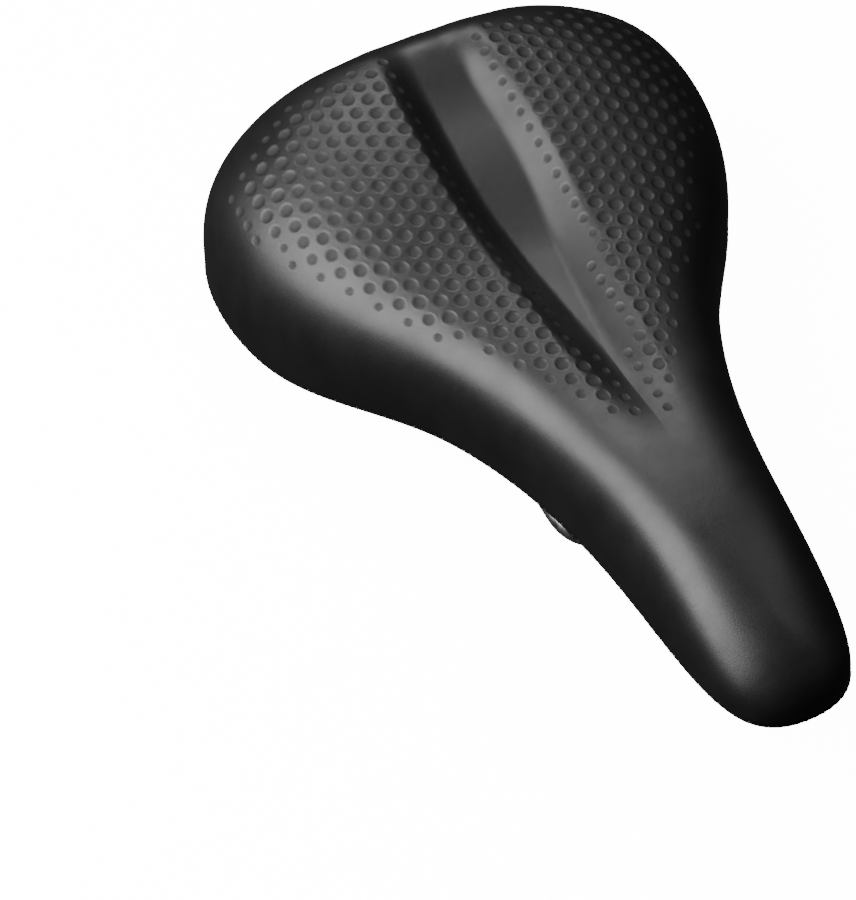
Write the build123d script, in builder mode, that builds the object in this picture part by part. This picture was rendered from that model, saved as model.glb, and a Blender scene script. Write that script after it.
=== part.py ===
from build123d import *
import math
import os

# Bicycle saddle with a slip-on silicone comfort cover.
# Frame: origin midway between the two rails at the middle of their clamp length, +Z up,
# +Y towards the tail, -Y towards the nose, X across. Millimetres.

os.makedirs("parts", exist_ok=True)

# --- plan outline of the cover, right half, from tail centre to nose tip ------------------
OUTLINE = [
    (0, 131.5), (43.6, 128.9), (58.8, 126.6), (82.0, 109.2), (81.5, 55.0),
    (50.5, 2.9), (27.4, -70.7), (17.3, -136.1), (0, -144.1),
]
TAIL_Y = OUTLINE[0][1]
NOSE_Y = OUTLINE[-1][1]

# --- side profile: (y, z) of the crown line and of the parting line -----------------------
CROWN = [
    (131.5, 74.0), (107.4, 74.0), (76, 70.9), (21, 61.7), (-34, 59.0), (-50, 60.2),
    (-64, 61.0), (-78, 60.8), (-90, 59.5), (-101, 57.2), (-111, 54.3), (-122, 51.0),
    (-133, 48.3), (-144.1, 46.0),
]
PARTING = [(131.5, 16.2), (62.6, 12.8), (-6.3, 23.7), (-75.2, 27.2), (-144.1, 30.2)]
SPINE_TAIL_Y = 107.4       # the crown is a ridge between these two ends
SPINE_NOSE_Y = -119.9
FULLNESS = [(131.5, 2.33), (-6.3, 4.54), (-144.1, 1.84)]   # how flat the crown is across
SHOULDER = 2.8             # how square the shoulders are
ROLL_W = 16.0              # width of the rounded turn under the edge
ROLL = 2.4                 # how soon that turn runs out flat

# --- relief channel along the crown -------------------------------------------------------
CHANNEL_DEPTH = [
    (131.5, 0.0), (120, 0.5), (110, 2.4), (99, 5.8), (86, 7.7), (40, 8.0), (0, 6.0), (-30, 3.0),
    (-52, 0),
]
CHANNEL_HALF = [(131.5, 9.5), (107, 11.5), (60, 13.5), (33, 11.5), (3, 8.2), (-27, 5.3), (-52, 3)]
CHANNEL_WALL = 13.0

# --- thicknesses --------------------------------------------------------------------------
COVER_T = 2.2              # silicone skin
FIT_GAP = 0.3              # cover to saddle
PAD_T = 8.0                # air cell depth under the two lobes
PAD_FADE = [(131.5, 1.0), (-20, 1.0), (-45, 0.55), (-72, 0), (-144.1, 0)]
LIP_DROP = 6.0             # underside of the lip below the parting line
SKIN_T = 1.2               # saddle upholstery
BASE_T = 3.0               # moulded base
SEAM_GAP = 0.3             # between the panels of the upholstery
SEAM_SHARE = 0.004         # the same, as a share of the outline
CHANNEL_GAP = 0.4          # more room over the saddle, where the channel comes down to it
CLEAR = 0.1                # round pressed nuts and in rail holes
SEAT_GAP = 0.3             # base to the parts screwed up under it
PANEL_LIP = 8.0            # lowest edge of the top panel above the parting line

# --- opening under the cover --------------------------------------------------------------
OPENING = [
    (0, 118.0), (12, 115.5), (30, 109.0), (44, 100.0), (50.5, 90.0), (51.5, 78.0),
    (44.5, 49.0), (33.0, 18.0), (23.0, -16.0), (15.5, -52.0), (12.3, -79.0), (8.5, -86.0),
    (0, -88.5),
]
BEAD_R = 1.6
BEAD_H = 1.3               # bead below the lip

# --- outlines inside the saddle, as shares of the cover's outline across and along --------
WRAP = (0.84, 0.905)       # edge of the upholstery under the base
PANEL = (0.70, 0.86)       # top panel of the upholstery
RAISED = (0.80, 0.885)     # raised part of the base, outside
HOLLOW = (0.76, 0.855)     # and inside

# --- air cell pads, right side ------------------------------------------------------------
CELLS_FROM = 40.0          # height well below the cells
CELL_ZONE = [
    (17.0, 94.0), (36.0, 94.0), (52.0, 84.0), (56.0, 66.0), (45.0, 34.0), (35.0, 8.0),
    (25.0, -18.0), (16.0, -46.0), (9.0, -49.0), (8.0, -30.0), (12.0, 4.0), (16.0, 36.0),
    (18.5, 62.0),
]

# --- base ---------------------------------------------------------------------------------
BASE_ARCH = [(131.5, 24.0), (110, 24.0), (60, 23.0), (0, 32.0), (-60, 34.0), (-144.1, 34.0)]

# --- rails --------------------------------------------------------------------------------
RAIL_D = 7.0
RAIL_SPACING = 44.0
CUP_X = 38.0
CUP_Y = 95.0
CUP_Z = 18.0
NOSE_RAIL_X = 7.0
NOSE_RAIL_Z = 29.0
NOSE_BLOCK_Y = -94.0
NOSE_BLOCK_LOW = 24.8
NOSE_BLOCK_W = 24.0
NOSE_BLOCK_L = 24.0
NOSE_BLOCK_H = 12.0
NOSE_HOLE = 20.0
CUP_WIDE = 15.0
CUP_LONG = 24.0
CUP_TALL = 12.0
CUP_BELOW = 5.5            # cup underside below the rail's centre
CUP_HOLE = 20.0
CUP_FLANGE_T = 3.0
CUP_FLANGE_W = 12.0
BLOCK_ROUND = 3.0          # upright edges of the cups and the nose block
BLOCK_EDGE = 1.0           # and their lower edges
RAIL_PATH = [
    (CUP_X, CUP_Y + 8, CUP_Z), (CUP_X, CUP_Y - 15, CUP_Z),
    (RAIL_SPACING / 2, 32.8, 0), (RAIL_SPACING / 2, -37.5, 0),
    (9.5, -54.5, 15), (NOSE_RAIL_X, -75.5, NOSE_RAIL_Z),
    (NOSE_RAIL_X, NOSE_BLOCK_Y - 8, NOSE_RAIL_Z),
]
RAIL_BENDS = [22.0, 22.0, 22.0, 12.0, 12.0]

# --- fasteners ----------------------------------------------------------------------------
CUP_SCREW_STEP = 13.0
NOSE_SCREW_STEP = 7.0
HEAD_R = 3.2
HEAD_H = 2.0
HEAD_ROUND = 0.6
HEAD_SUNK = 0.2            # nose screw heads, above the block's underside
DRIVE_R = 1.3
DRIVE_DEEP = 1.2
SHANK_R = 1.95
NUT_R = 2.9
NUT_BORE_R = 2.0
NUT_FLANGE_R = 6.0
NUT_FLANGE_T = 1.0
STAPLE_EVERY = 2
STAPLE_IN = 9.0
STAPLE_W = 8.0
STAPLE_WIRE = 0.6
STAPLE_LEG = 3.0
STAPLE_DEEP = 0.25         # crown of the staple above the upholstery's underside
RIB_Y = (68, 40, -34, -62)
RIB_X = 26.0
RIB_T = 1.8
RIB_H = 3.5
SIDE_RIB_Y = 5.0
SIDE_RIB_L = 130.0

STATIONS = 27              # points round half the outline
CROSS = 17                 # points from crown to edge
LOW, HIGH = -60.0, 90.0    # heights well below and above the saddle
HALF_WIDE = 110.0          # well outside it


def through(knots, y):
    """Smooth curve through (y, value) knots, listed from tail to nose."""
    if y >= knots[0][0]:
        return knots[0][1]
    if y <= knots[-1][0]:
        return knots[-1][1]
    k = max(i for i in range(len(knots) - 1) if knots[i][0] >= y)
    gaps = [b[0] - a[0] for a, b in zip(knots, knots[1:])]
    rates = [(b[1] - a[1]) / g for a, b, g in zip(knots, knots[1:], gaps)]

    def slope(i):
        if i in (0, len(knots) - 1):
            return rates[min(i, len(rates) - 1)]
        if rates[i - 1] * rates[i] <= 0:
            return 0.0
        return 2 * rates[i - 1] * rates[i] / (rates[i - 1] + rates[i])

    h = gaps[k]
    t = (y - knots[k][0]) / h
    ease = t * t * (3 - 2 * t)
    start = t * (1 - t) ** 2 * h * slope(k)
    end = t * t * (t - 1) * h * slope(k + 1)
    return knots[k][1] * (1 - ease) + knots[k + 1][1] * ease + start + end


def closed_spline(half_points):
    """Closed symmetric curve through the right-half points."""
    left = [(-x, y) for x, y in half_points[-2:0:-1]]
    points = [Vector(x, y) for x, y in half_points + left]
    spacing = [math.sqrt((b - a).length) for a, b in zip(points, points[1:] + points[:1])]
    marks = [sum(spacing[:i]) for i in range(len(spacing) + 1)]
    return Edge.make_spline(points, periodic=True, parameters=marks)


OUTER_EDGE = closed_spline(OUTLINE)
OPENING_EDGE = closed_spline(OPENING)
HALF_ROUND = [
    (OUTER_EDGE.position_at(0.5 * i / (STATIONS - 1)), OUTER_EDGE.tangent_at(0.5 * i / (STATIONS - 1)))
    for i in range(STATIONS)
]


def rim_point(index, inset):
    """Plan point of the outline, moved inwards by inset."""
    place, along = HALF_ROUND[index]
    if index == 0:
        return 0.0, place.Y - inset
    if index == STATIONS - 1:
        return 0.0, place.Y + inset
    return place.X + along.Y * inset, place.Y - along.X * inset


def channel(x, y):
    """Depth of the relief channel at a plan point."""
    half = through(CHANNEL_HALF, y)
    t = (abs(x) - half + CHANNEL_WALL / 2) / CHANNEL_WALL
    t = min(max(t, 0), 1)
    return through(CHANNEL_DEPTH, y) * (1 - t * t * (3 - 2 * t))


def lower_z(y, inwards, bottom):
    """Height of the underside at a distance inwards from the edge."""
    flat = min(inwards / ROLL_W, 1)
    return through(PARTING, y) - bottom * math.sqrt(1 - (1 - flat) ** ROLL)


def skin_column(index, inset, drop, groove, bottom):
    """One line of points from the crown over the edge to the underside."""
    x_rim, y_rim = rim_point(index, inset)
    y_full = HALF_ROUND[index][0].Y
    part = (TAIL_Y - y_full) / (TAIL_Y - NOSE_Y)
    y_spine = SPINE_TAIL_Y + (SPINE_NOSE_Y - SPINE_TAIL_Y) * part
    z_edge = through(PARTING, y_full)
    power = through(FULLNESS, y_full)
    points = []
    for i in range(CROSS):
        r = math.sin(math.pi / 2 * i / (CROSS - 1))
        x, y = x_rim * r, y_spine + (y_rim - y_spine) * r
        rise = max(0, 1 - r ** power) ** (1 / SHOULDER)
        top = through(CROWN, y) - drop(y) - groove * channel(x, y)
        points.append(Vector(x, y, z_edge + (top - z_edge) * rise))
    reach = math.hypot(x_rim, y_rim - y_spine)
    for i in range(CROSS - 3, -1, -2):
        r = math.sin(math.pi / 2 * i / (CROSS - 1))
        x, y = x_rim * r, y_spine + (y_rim - y_spine) * r
        points.append(Vector(x, y, lower_z(y, (1 - r) * reach, bottom)))
    return points


def pebble(inset, drop, groove, bottom):
    """Closed saddle-shaped solid: crown lowered by drop(y), edge moved in by inset."""
    columns = [skin_column(i, inset, drop, groove, bottom) for i in range(STATIONS)]
    half = Face.make_surface_from_array_of_points(
        columns, tol=0.01, smoothing=(1, 0.1, 0.01), max_deg=5
    )
    return Solid(Shell([half, half.mirror(Plane.YZ)]))


def flat_drop(depth):
    """Crown lowered by the same depth everywhere."""
    return lambda y: depth


def padded_drop(depth):
    """Crown lowered by the air cells as well."""
    return lambda y: depth + PAD_T * through(PAD_FADE, y)


def under(height):
    """Everything below the side curve z = height(y), across the whole width."""
    steps = [TAIL_Y + 10 - i * (TAIL_Y - NOSE_Y + 20) / 16 for i in range(17)]
    with BuildPart() as tool:
        with BuildSketch(Plane.YZ):
            with BuildLine():
                curve = Spline([(y, height(y)) for y in steps])
                Polyline(curve @ 1, (steps[-1], LOW), (steps[0], LOW), curve @ 0)
            make_face()
        extrude(amount=HALF_WIDE, both=True)
    return tool.part


def upright(edge, low=LOW):
    """Vertical prism inside a closed plan curve."""
    with BuildPart() as tool:
        with BuildSketch(Plane.XY.offset(low)):
            add(Face(Wire([edge])))
        extrude(amount=HIGH - low)
    return tool.part


def shrunk_outline(shares, more=0.0):
    """Outline scaled across and along, about the middle of the saddle's length."""
    across, along = shares[0] + more, shares[1] + more
    middle = (TAIL_Y + NOSE_Y) / 2
    return closed_spline([(x * across, middle + (y - middle) * along) for x, y in OUTLINE])


def grown_opening(margin):
    """Opening curve moved outwards by margin."""
    count = 21
    points = []
    for i in range(count):
        place = OPENING_EDGE.position_at(0.5 * i / (count - 1))
        along = OPENING_EDGE.tangent_at(0.5 * i / (count - 1))
        x = 0 if i in (0, count - 1) else place.X - along.Y * margin
        points.append((x, place.Y + along.X * margin))
    return closed_spline(points)


def parting(y):
    return through(PARTING, y)


def arch(y):
    return through(BASE_ARCH, y)


# --- nested forms that the pieces are cut from ---------------------------------------------
WALL = COVER_T + FIT_GAP
INNER = WALL + SKIN_T
cover_form = pebble(0, flat_drop(0), 1, LIP_DROP)
rim_form = pebble(0, flat_drop(0), 1, LIP_DROP + BEAD_H)
cover_inside = pebble(COVER_T, flat_drop(COVER_T), 1, LIP_DROP - COVER_T)
cell_floor = pebble(COVER_T, padded_drop(COVER_T), 0, LIP_DROP - COVER_T)
saddle_form = pebble(WALL, padded_drop(WALL + CHANNEL_GAP), 0, LIP_DROP - WALL)
padding_form = pebble(INNER, padded_drop(INNER + CHANNEL_GAP), 0, LIP_DROP - INNER)

below_parting = under(parting)
rim_tool = upright(grown_opening(2 * BEAD_R))
rim_ring = rim_tool - upright(OPENING_EDGE)
under_seat = under(lambda y: arch(y) - SEAT_GAP)
base_hollow = upright(shrunk_outline(HOLLOW)) & under(arch)
base_band = under(lambda y: parting(y) - LIP_DROP + INNER + BASE_T)
base_raised = upright(shrunk_outline(RAISED)) & under(lambda y: arch(y) + BASE_T)
wrap_tool = upright(shrunk_outline(WRAP)) & under(lambda y: parting(y) + 1)
panel_tool = upright(shrunk_outline(PANEL)) - under(lambda y: parting(y) + PANEL_LIP)
panel_space = upright(shrunk_outline(PANEL, SEAM_SHARE)) - under(
    lambda y: parting(y) + PANEL_LIP - SEAM_GAP
)


# --- cover ---------------------------------------------------------------------------------
with BuildPart() as cover_top:
    add(cover_form)
    add(cover_inside, mode=Mode.SUBTRACT)
    add(below_parting, mode=Mode.SUBTRACT)
cover_top.part.label = "cover_top"
export_step(cover_top.part, "parts/cover_top.step")

with BuildPart() as cover_lip:
    add(cover_form)
    add(cover_inside, mode=Mode.SUBTRACT)
    add(below_parting, mode=Mode.INTERSECT)
    add(rim_tool, mode=Mode.SUBTRACT)
cover_lip.part.label = "cover_lip"
export_step(cover_lip.part, "parts/cover_lip.step")

with BuildPart() as cover_rim:
    add(rim_form)
    add(rim_ring, mode=Mode.INTERSECT)
    add(below_parting, mode=Mode.INTERSECT)
    add(cover_inside, mode=Mode.SUBTRACT)
cover_rim.part.label = "cover_rim"
export_step(cover_rim.part, "parts/cover_rim.step")

with BuildPart() as air_cells_right:
    with BuildSketch(Plane.XY.offset(CELLS_FROM)):
        Polygon(*CELL_ZONE, align=None)
    extrude(amount=HIGH - CELLS_FROM)
    add(cover_inside, mode=Mode.INTERSECT)
    add(cell_floor, mode=Mode.SUBTRACT)
air_cells_right.part.label = "air_cells_right"
export_step(air_cells_right.part, "parts/air_cells_right.step")

with BuildPart() as air_cells_left:
    mirror(air_cells_right.part, about=Plane.YZ)
air_cells_left.part.label = "air_cells_left"
export_step(air_cells_left.part, "parts/air_cells_left.step")


# --- fasteners -----------------------------------------------------------------------------
def screw_places():
    """Plan points of the cup screws."""
    return [
        (side * CUP_X + step * CUP_SCREW_STEP, CUP_Y) for side in (-1, 1) for step in (-1, 1)
    ]


def nose_places():
    """Plan points of the nose block screws."""
    return [(0, NOSE_BLOCK_Y - NOSE_SCREW_STEP), (0, NOSE_BLOCK_Y + NOSE_SCREW_STEP)]


def plate_nuts(places):
    """Flanged nuts pressed through the base plate from above."""
    with BuildPart() as nuts:
        for x, y in places:
            with Locations((x, y, arch(y) + BASE_T + NUT_FLANGE_T / 2)):
                Cylinder(NUT_FLANGE_R, NUT_FLANGE_T)
            with Locations((x, y, arch(y) + SEAT_GAP + (BASE_T - SEAT_GAP) / 2)):
                Cylinder(NUT_R, BASE_T - SEAT_GAP)
            with Locations((x, y, arch(y) + BASE_T / 2)):
                Cylinder(NUT_BORE_R, 4 * BASE_T, mode=Mode.SUBTRACT)
    return nuts


def nut_spaces(places):
    """Room for the flanged nuts and the screw ends in the base plate and the padding."""
    with BuildPart() as spaces:
        for x, y in places:
            with Locations((x, y, arch(y) + BASE_T + NUT_FLANGE_T / 2)):
                Cylinder(NUT_FLANGE_R + CLEAR, NUT_FLANGE_T + 4 * CLEAR)
            with Locations((x, y, arch(y) + BASE_T / 2)):
                Cylinder(NUT_R + CLEAR, 2 * BASE_T)
    return spaces


def pan_screws(places, head_z):
    """Pan head screws entering from below; head_z is the underside that each head bears on."""
    with BuildPart() as screws:
        for x, y in places:
            top = arch(y) + BASE_T + NUT_FLANGE_T
            with Locations((x, y, head_z - HEAD_H / 2)):
                Cylinder(HEAD_R, HEAD_H)
            with Locations((x, y, (head_z + top) / 2)):
                Cylinder(SHANK_R, top - head_z)
            with Locations((x, y, head_z - HEAD_H + DRIVE_DEEP / 2)):
                Cylinder(DRIVE_R, DRIVE_DEEP, mode=Mode.SUBTRACT)
        rims = screws.edges().filter_by(GeomType.CIRCLE).group_by(Axis.Z)[0]
        fillet(rims.filter_by(lambda e: e.radius > (DRIVE_R + HEAD_R) / 2), HEAD_ROUND)
    return screws


cup_flange_z = arch(CUP_Y) - CUP_FLANGE_T
cup_screws = pan_screws(screw_places(), cup_flange_z)
cup_screws.part.label = "cup_screws"
export_step(cup_screws.part, "parts/cup_screws.step")

nose_head_z = NOSE_BLOCK_LOW + HEAD_H + HEAD_SUNK
nose_screws = pan_screws(nose_places(), nose_head_z)
nose_screws.part.label = "nose_screws"
export_step(nose_screws.part, "parts/nose_screws.step")

plate_nuts_rear = plate_nuts(screw_places())
plate_nuts_rear.part.label = "plate_nuts_rear"
export_step(plate_nuts_rear.part, "parts/plate_nuts_rear.step")

plate_nuts_nose = plate_nuts(nose_places())
plate_nuts_nose.part.label = "plate_nuts_nose"
export_step(plate_nuts_nose.part, "parts/plate_nuts_nose.step")

all_nut_spaces = nut_spaces(screw_places() + nose_places()).part


def staple_places():
    """Point and heading of each staple on the turned-under upholstery, right half."""
    places = []
    for index in range(2, STATIONS - 2, STAPLE_EVERY):
        along = HALF_ROUND[index][1]
        x, y = rim_point(index, WALL + STAPLE_IN)
        z = lower_z(y, STAPLE_IN, LIP_DROP - WALL) + STAPLE_DEEP
        places.append((x, y, z, math.degrees(math.atan2(along.Y, along.X))))
    return places


with BuildPart() as skin_staples:
    for x, y, z, heading in staple_places():
        with Locations(Location((x, y, z), (0, 0, heading))):
            with Locations((0, 0, STAPLE_WIRE / 2)):
                Box(STAPLE_W, STAPLE_WIRE, STAPLE_WIRE)
            with Locations(
                (-STAPLE_W / 2 + STAPLE_WIRE / 2, 0, STAPLE_LEG / 2),
                (STAPLE_W / 2 - STAPLE_WIRE / 2, 0, STAPLE_LEG / 2),
            ):
                Box(STAPLE_WIRE, STAPLE_WIRE, STAPLE_LEG)
    mirror(about=Plane.YZ)
skin_staples.part.label = "skin_staples"
export_step(skin_staples.part, "parts/skin_staples.step")


# --- base ----------------------------------------------------------------------------------
def base_ribs():
    """Ribs hanging under the raised plate, clear of the rails and the seatpost clamp."""
    with BuildPart() as ribs:
        with Locations(*[(0, y, 0) for y in RIB_Y]):
            Box(2 * HALF_WIDE, RIB_T, 2 * HIGH)
        with Locations((RIB_X, SIDE_RIB_Y, 0), (-RIB_X, SIDE_RIB_Y, 0)):
            Box(RIB_T, SIDE_RIB_L, 2 * HIGH)
    return ribs.part & (base_hollow - under(lambda y: arch(y) - RIB_H))


ribs = base_ribs()
with BuildPart() as base_shell:
    add(base_band)
    add(base_raised)
    add(padding_form, mode=Mode.INTERSECT)
    add(base_hollow, mode=Mode.SUBTRACT)
    add(ribs)
    add(all_nut_spaces, mode=Mode.SUBTRACT)
    add(skin_staples.part, mode=Mode.SUBTRACT)
base_shell.part.label = "base_shell"
export_step(base_shell.part, "parts/base_shell.step")

# --- padding and upholstery ----------------------------------------------------------------
with BuildPart() as foam_pad:
    add(padding_form)
    add(base_band, mode=Mode.SUBTRACT)
    add(base_raised, mode=Mode.SUBTRACT)
    add(all_nut_spaces, mode=Mode.SUBTRACT)
    add(skin_staples.part, mode=Mode.SUBTRACT)
foam_pad.part.label = "foam_pad"
export_step(foam_pad.part, "parts/foam_pad.step")

with BuildPart() as skin:
    add(saddle_form)
    add(padding_form, mode=Mode.SUBTRACT)
    add(wrap_tool, mode=Mode.SUBTRACT)
    add(skin_staples.part, mode=Mode.SUBTRACT)

with BuildPart() as skin_top_panel:
    add(skin.part)
    add(panel_tool, mode=Mode.INTERSECT)
skin_top_panel.part.label = "skin_top_panel"
export_step(skin_top_panel.part, "parts/skin_top_panel.step")

with BuildPart() as skin_side_right:
    add(skin.part)
    add(panel_space, mode=Mode.SUBTRACT)
    split(bisect_by=Plane.YZ, keep=Keep.TOP)
skin_side_right.part.label = "skin_side_right"
export_step(skin_side_right.part, "parts/skin_side_right.step")

with BuildPart() as skin_side_left:
    mirror(skin_side_right.part, about=Plane.YZ)
skin_side_left.part.label = "skin_side_left"
export_step(skin_side_left.part, "parts/skin_side_left.step")


# --- rails and what holds them -------------------------------------------------------------
with BuildPart() as rail_right:
    with BuildLine():
        rail_path = FilletPolyline(RAIL_PATH, radius=RAIL_BENDS)
    with BuildSketch(Plane(rail_path @ 0, z_dir=rail_path % 0)):
        Circle(RAIL_D / 2)
    sweep()
rail_right.part.label = "rail_right"
export_step(rail_right.part, "parts/rail_right.step")

with BuildPart() as rail_left:
    mirror(rail_right.part, about=Plane.YZ)
rail_left.part.label = "rail_left"
export_step(rail_left.part, "parts/rail_left.step")

for line in rail_path.edges().filter_by(GeomType.LINE):
    if abs((line @ 0).Z) < 0.01 and abs((line @ 1).Z) < 0.01:
        print("clamp length", line.length, "from y", (line @ 0).Y, "to", (line @ 1).Y)

with BuildPart() as rail_cup_right:
    with Locations((CUP_X, CUP_Y, CUP_Z + CUP_TALL / 2 - CUP_BELOW)):
        Box(CUP_WIDE, CUP_LONG, CUP_TALL)
    fillet(rail_cup_right.edges().filter_by(Axis.Z), BLOCK_ROUND)
    fillet(rail_cup_right.faces().sort_by(Axis.Z)[0].edges(), BLOCK_EDGE)
    with Locations((CUP_X, CUP_Y, cup_flange_z + CUP_FLANGE_T)):
        Box(2 * CUP_SCREW_STEP + CUP_FLANGE_W, CUP_FLANGE_W, 2 * CUP_FLANGE_T)
    add(under_seat, mode=Mode.INTERSECT)
    with Locations(Location((CUP_X, CUP_Y - CUP_LONG / 2, CUP_Z), (90, 0, 0))):
        Cylinder(RAIL_D / 2 + CLEAR, 2 * CUP_HOLE, mode=Mode.SUBTRACT)
    for step in (-1, 1):
        with Locations((CUP_X + step * CUP_SCREW_STEP, CUP_Y, CUP_Z)):
            Cylinder(NUT_BORE_R, 30, mode=Mode.SUBTRACT)
rail_cup_right.part.label = "rail_cup_right"
export_step(rail_cup_right.part, "parts/rail_cup_right.step")

with BuildPart() as rail_cup_left:
    mirror(rail_cup_right.part, about=Plane.YZ)
rail_cup_left.part.label = "rail_cup_left"
export_step(rail_cup_left.part, "parts/rail_cup_left.step")

with BuildPart() as nose_block:
    with Locations((0, NOSE_BLOCK_Y, NOSE_BLOCK_LOW + NOSE_BLOCK_H / 2)):
        Box(NOSE_BLOCK_W, NOSE_BLOCK_L, NOSE_BLOCK_H)
    fillet(nose_block.edges().filter_by(Axis.Z), BLOCK_ROUND)
    fillet(nose_block.faces().sort_by(Axis.Z)[0].edges(), BLOCK_EDGE)
    add(under_seat, mode=Mode.INTERSECT)
    for side in (-1, 1):
        hole = (side * NOSE_RAIL_X, NOSE_BLOCK_Y + NOSE_BLOCK_L / 2, NOSE_RAIL_Z)
        with Locations(Location(hole, (90, 0, 0))):
            Cylinder(RAIL_D / 2 + CLEAR, 2 * NOSE_HOLE, mode=Mode.SUBTRACT)
    for x, y in nose_places():
        with Locations((x, y, NOSE_BLOCK_LOW)):
            Cylinder(NUT_BORE_R, 4 * NOSE_BLOCK_H, mode=Mode.SUBTRACT)
        with Locations((x, y, nose_head_z - NOSE_BLOCK_H / 2)):
            Cylinder(HEAD_R + 2 * CLEAR, NOSE_BLOCK_H, mode=Mode.SUBTRACT)
nose_block.part.label = "nose_block"
export_step(nose_block.part, "parts/nose_block.step")
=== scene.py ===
"""Bicycle saddle with a slip-on silicone comfort cover, seen from above its left front."""

import bmesh
import bpy
import math
import numpy as np
from mathutils import Matrix, Vector
from mathutils.bvhtree import BVHTree
from mathutils.kdtree import KDTree


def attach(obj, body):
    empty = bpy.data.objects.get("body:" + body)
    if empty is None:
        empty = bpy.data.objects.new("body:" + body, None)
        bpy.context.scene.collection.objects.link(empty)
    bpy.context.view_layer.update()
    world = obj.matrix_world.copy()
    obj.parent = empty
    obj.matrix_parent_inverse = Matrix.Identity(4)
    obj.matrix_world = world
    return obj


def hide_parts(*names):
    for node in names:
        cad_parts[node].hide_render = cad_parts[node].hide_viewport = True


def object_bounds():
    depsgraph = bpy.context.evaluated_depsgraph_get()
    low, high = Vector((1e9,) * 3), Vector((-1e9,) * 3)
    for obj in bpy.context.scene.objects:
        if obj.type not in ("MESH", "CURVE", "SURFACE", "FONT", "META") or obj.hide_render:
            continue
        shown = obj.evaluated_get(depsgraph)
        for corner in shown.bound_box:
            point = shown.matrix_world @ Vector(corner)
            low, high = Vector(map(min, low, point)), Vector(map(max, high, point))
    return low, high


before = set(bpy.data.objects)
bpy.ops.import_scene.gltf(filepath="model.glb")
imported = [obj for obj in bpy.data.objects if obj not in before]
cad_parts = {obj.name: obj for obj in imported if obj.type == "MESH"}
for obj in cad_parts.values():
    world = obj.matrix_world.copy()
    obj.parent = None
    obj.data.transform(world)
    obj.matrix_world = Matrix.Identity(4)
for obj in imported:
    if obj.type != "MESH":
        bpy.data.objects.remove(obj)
cad_low, cad_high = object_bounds()
MM = 0.001

# --- the saddle's own form, in millimetres, close to the CAD part's ------------------------
OUTLINE = [
    (0, 131.5), (43.6, 128.9), (58.8, 126.6), (82.0, 109.2), (81.5, 55.0),
    (50.5, 2.9), (27.4, -70.7), (17.3, -136.1), (0, -144.1),
]
CROWN = [
    (131.5, 74.0), (107.4, 74.0), (76, 70.9), (21, 61.7), (-34, 59.2), (-50, 60.0),
    (-64, 60.5), (-78, 60.4), (-90, 59.6), (-101, 57.8), (-111, 55.2), (-122, 51.7),
    (-133, 48.5), (-144.1, 46.0),
]
PARTING = [(131.5, 16.2), (62.6, 12.8), (-6.3, 23.7), (-75.2, 27.2), (-144.1, 30.2)]
FULLNESS = [(131.5, 2.33), (-6.3, 4.54), (-144.1, 1.84)]
CHANNEL_DEPTH = [
    (131.5, 0.2), (121, 0.9), (111, 2.6), (98, 6.0), (86, 7.8), (40, 8.0), (0, 6.0), (-30, 3.0),
    (-52, 0),
]
CHANNEL_HALF = [(131.5, 11), (107, 12.7), (60, 14.4), (33, 12), (3, 8.6), (-27, 5.6), (-52, 3.2)]
PAD_FADE = [(131.5, 1.0), (-20, 1.0), (-45, 0.55), (-72, 0), (-144.1, 0)]
OPENING = [
    (0, 118.0), (12, 115.5), (30, 109.0), (44, 100.0), (50.5, 90.0), (51.5, 78.0),
    (44.5, 49.0), (33.0, 18.0), (23.0, -16.0), (15.5, -52.0), (12.3, -79.0), (8.5, -86.0),
    (0, -88.5),
]
CELL_ZONE = [
    (17, 94), (36, 94), (52, 84), (56, 66), (45, 34), (35, 8), (25, -18),
    (16, -46), (9, -49), (8, -30), (12, 4), (16, 36), (18.5, 62),
]
TAIL_Y, NOSE_Y = OUTLINE[0][1], OUTLINE[-1][1]
MID_Y = (TAIL_Y + NOSE_Y) / 2
SPINE_TAIL_Y, SPINE_NOSE_Y = 107.4, -119.9     # ridge of the crown
HOLLOW_TAIL_Y, HOLLOW_NOSE_Y = 92.0, -70.0     # middle line inside the opening
SHOULDER = 2.8
CHANNEL_WALL = 14.0
ROLL_W, ROLL = 16.0, 2.4
COVER_T, FIT_GAP, CHANNEL_GAP, PAD_T, LIP_DROP = 2.2, 0.3, 0.4, 8.0, 6.0
SKIN_T = 1.2
WRAP = (0.84, 0.905)                           # edge of the upholstery under the base
PANEL = (0.70, 0.86)                           # seam round the upholstery's top panel

# --- details that only the visual model has ------------------------------------------------
COLUMNS = 520                                  # round half of the outline
FINE_COLUMNS, LOOP_POINTS, SEAM_POINTS, STITCH_POINTS = 900, 700, 500, 1200
CROWN_STEPS, UNDER_STEPS = 600, 160            # finer steps that the rows are picked from
CELL_SURFACE_ROWS = 90
RAY_FROM = 200                                 # above everything
CROWN_ROWS, UNDER_ROWS, INSIDE_ROWS, INSIDE_UNDER_ROWS, SKIN_ROWS = 190, 14, 44, 16, 110
SIDE_FROM, SIDE_SHARE = 0.75, 0.4              # rows stand wider apart where it is this steep
EDGE_ABOVE = (1.2, 0.75, 0.45, 0.3, 0.18, 0.08, 0.0)      # rows this far from the edge
EDGE_BELOW = (0.0, 0.08, 0.18, 0.3, 0.45, 0.6, 0.9, 1.3, 1.7, 1.95, 2.2, 2.8)
BEAD_ROWS = np.array([
    5.6, 5.1, 4.9, 4.65, 4.4, 4.15, 3.9, 3.6, 3.22, 3.12, 2.95, 2.6, 2.1, 1.6, 1.1, 0.6, 0.25,
    0.08, 0.0,
])
WALL_STEPS = np.array([0.08, 0.3, 0.6, 0.9])
DIMPLE_PITCH = 6.35
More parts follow.
